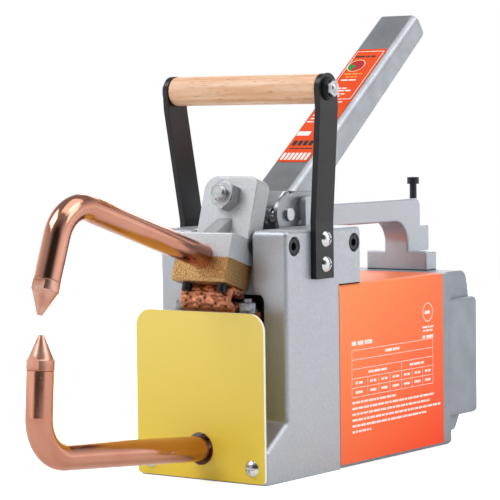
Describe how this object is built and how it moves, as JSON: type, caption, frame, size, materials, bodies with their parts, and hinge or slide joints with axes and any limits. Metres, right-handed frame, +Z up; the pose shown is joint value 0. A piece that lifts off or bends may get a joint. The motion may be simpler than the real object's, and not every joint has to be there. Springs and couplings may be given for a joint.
{
  "type": "hand-held spot welder",
  "caption": "Hand-held spot welder: transformer body with two copper tongs, a toggle clamping lever with trigger screw, and a wooden carry handle.",
  "frame": {"origin": "centre of the bottom face of the transformer body, 110 mm behind the front of the insulating plate", "axes": "+Z up, -Y the way the tongs point, +X across the machine, to the side seen in the picture; X is the thin direction"},
  "size_m": [0.1372, 0.436, 0.2964],
  "materials": {
    "silver_paint": "satin silver paint on cast aluminium",
    "grey_paint": "satin grey paint on cast aluminium",
    "grey_sheet": "satin grey paint on steel sheet",
    "cast_aluminium": "fine cast aluminium",
    "yellow_board": "satin yellow insulating board",
    "chromed_screws": "bright chromed steel",
    "black_screws": "blackened steel",
    "ground_steel": "ground steel",
    "zinc_steel": "zinc plated steel",
    "spring_steel": "drawn spring steel",
    "lever_steel": "satin grey steel",
    "copper": "polished copper",
    "tip_copper": "turned copper alloy",
    "copper_braid": "braided copper",
    "brass": "grained cast brass",
    "fibre": "pressed fibre",
    "lamination_steel": "stacked steel sheet",
    "coil_wrap": "varnished tape",
    "orange_film": "printed orange film",
    "black_gasket": "soft black gasket",
    "black_plastic": "moulded black plastic",
    "red_plastic": "moulded red plastic",
    "black_enamel": "black enamel on steel",
    "beech": "varnished beech"
  },
  "bodies": {
    "body": {"front_housing": "silver_paint", "insulating_plate": "yellow_board", "plate_screws": "chromed_screws", "pivot_shaft": "ground_steel", "side_screws": "black_screws", "pivot_washers": "black_plastic", "foot_bush": "fibre", "lower_tong": "copper", "lower_tip": "tip_copper", "lower_clamp": "brass", "clamp_insulator": "fibre", "transformer_core": "lamination_steel", "primary_coils": "coil_wrap", "secondary_bar": "copper", "bus_plate": "copper", "lower_clamp_screws": "black_screws", "braid_bolts": "zinc_steel", "copper_braid": "copper_braid", "grip_bar": "silver_paint", "foot_gasket": "black_gasket", "foot_screws": "black_screws", "stop_spring": "spring_steel", "transformer_case": "grey_sheet", "case_label": "orange_film", "head_gasket": "black_gasket", "core_rails": "fibre", "rear_cover": "grey_paint", "cover_screws": "chromed_screws", "cable_gland": "black_plastic", "gland_nut": "black_plastic", "trigger_switch": "black_plastic", "strap_left": "black_enamel", "strap_right": "black_enamel", "strap_screws": "chromed_screws", "wooden_handle": "beech", "handle_rod": "zinc_steel", "handle_washers": "black_enamel", "handle_nuts": "zinc_steel", "lever_spring": "spring_steel"},
    "rocker": {"rocker_arm": "cast_aluminium", "brass_clamp": "brass", "clamp_screws": "black_screws", "upper_tong": "copper", "upper_tip": "tip_copper", "adjusting_screw": "zinc_steel", "lock_nut": "zinc_steel", "pressure_spring": "spring_steel"},
    "lever": {"lever_channel": "lever_steel", "lever_fork": "lever_steel", "lever_label": "orange_film", "fulcrum_pin": "ground_steel", "fulcrum_clip": "spring_steel", "link_pin": "ground_steel"},
    "link": {"toggle_links": "zinc_steel", "toggle_pin": "ground_steel"},
    "plunger": {"stop_screw": "black_screws", "stop_collars": "zinc_steel"},
    "button": {"switch_button": "red_plastic"}
  },
  "joints": [
    {"name": "lever_pivot", "type": "hinge", "parent": "body", "child": "lever", "pos_m": [0, -0.0315, 0.1637], "axis": [1, 0, 0], "range_deg": [-34.1, 0], "stiffness_Nm_per_rad": 0.8, "springref_deg": 40.11},
    {"name": "rocker_pivot", "type": "hinge", "parent": "body", "child": "rocker", "pos_m": [0, -0.0758, 0.146], "axis": [1, 0, 0], "range_deg": [0, 3.5], "deforming": ["copper_braid"]},
    {"name": "link_pivot", "type": "hinge", "parent": "lever", "child": "link", "pos_m": [0, -0.03915, 0.16136], "axis": [1, 0, 0], "range_deg": [0, 51.06]},
    {"name": "trigger_slide", "type": "slide", "parent": "body", "child": "plunger", "axis": [0, 0, -1], "range_m": [0, 0.002], "stiffness_N_per_m": 400, "springref_m": -0.003, "deforming": ["stop_spring"]},
    {"name": "switch_slide", "type": "slide", "parent": "body", "child": "button", "axis": [0, 0, -1], "range_m": [0, 0.002], "stiffness_N_per_m": 50, "springref_m": -0.001}
  ],
  "couplings": [
    {"joint": "rocker_pivot", "follows": "lever_pivot", "ratio": -0.10264},
    {"joint": "link_pivot", "follows": "lever_pivot", "ratio": -1.4973},
    {"joint": "switch_slide", "follows": "trigger_slide", "ratio": 1}
  ]
}
